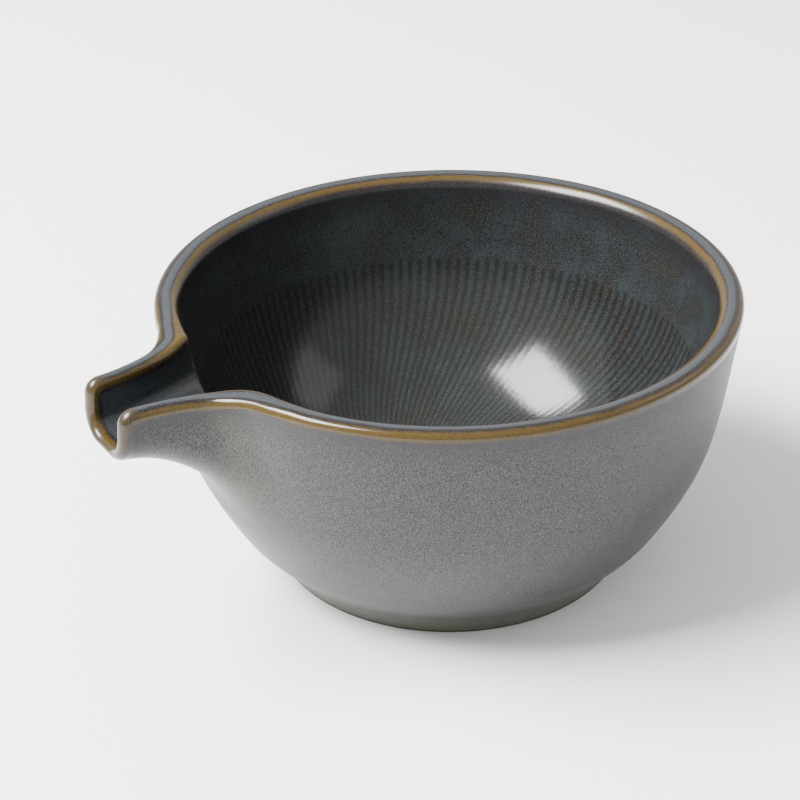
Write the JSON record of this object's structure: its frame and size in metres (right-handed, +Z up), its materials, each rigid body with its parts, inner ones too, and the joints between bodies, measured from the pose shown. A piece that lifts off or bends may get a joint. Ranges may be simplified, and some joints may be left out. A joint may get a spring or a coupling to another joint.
{
  "type": "spouted grinding bowl",
  "caption": "Round glazed stoneware grinding bowl with a combed inside for pounding seeds, an open pouring spout at the rim and a low foot ring.",
  "frame": {"origin": "centre of the foot ring's resting plane, on the bowl's axis", "axes": "+Z up along the bowl's axis; +X level, along the pouring spout from the axis to the lip; +Y level, across the spout"},
  "size_m": [0.1502, 0.13, 0.0655],
  "materials": {
    "slate_glaze": "satin to glossy slate grey glaze, speckled, breaking to amber brown along the edges",
    "bare_stoneware": "unglazed brown stoneware on the resting face, thin olive glaze above it"
  },
  "bodies": {
    "root": {"bowl_wall": "slate_glaze", "pouring_spout": "slate_glaze", "foot_ring": "bare_stoneware"}
  },
  "joints": []
}
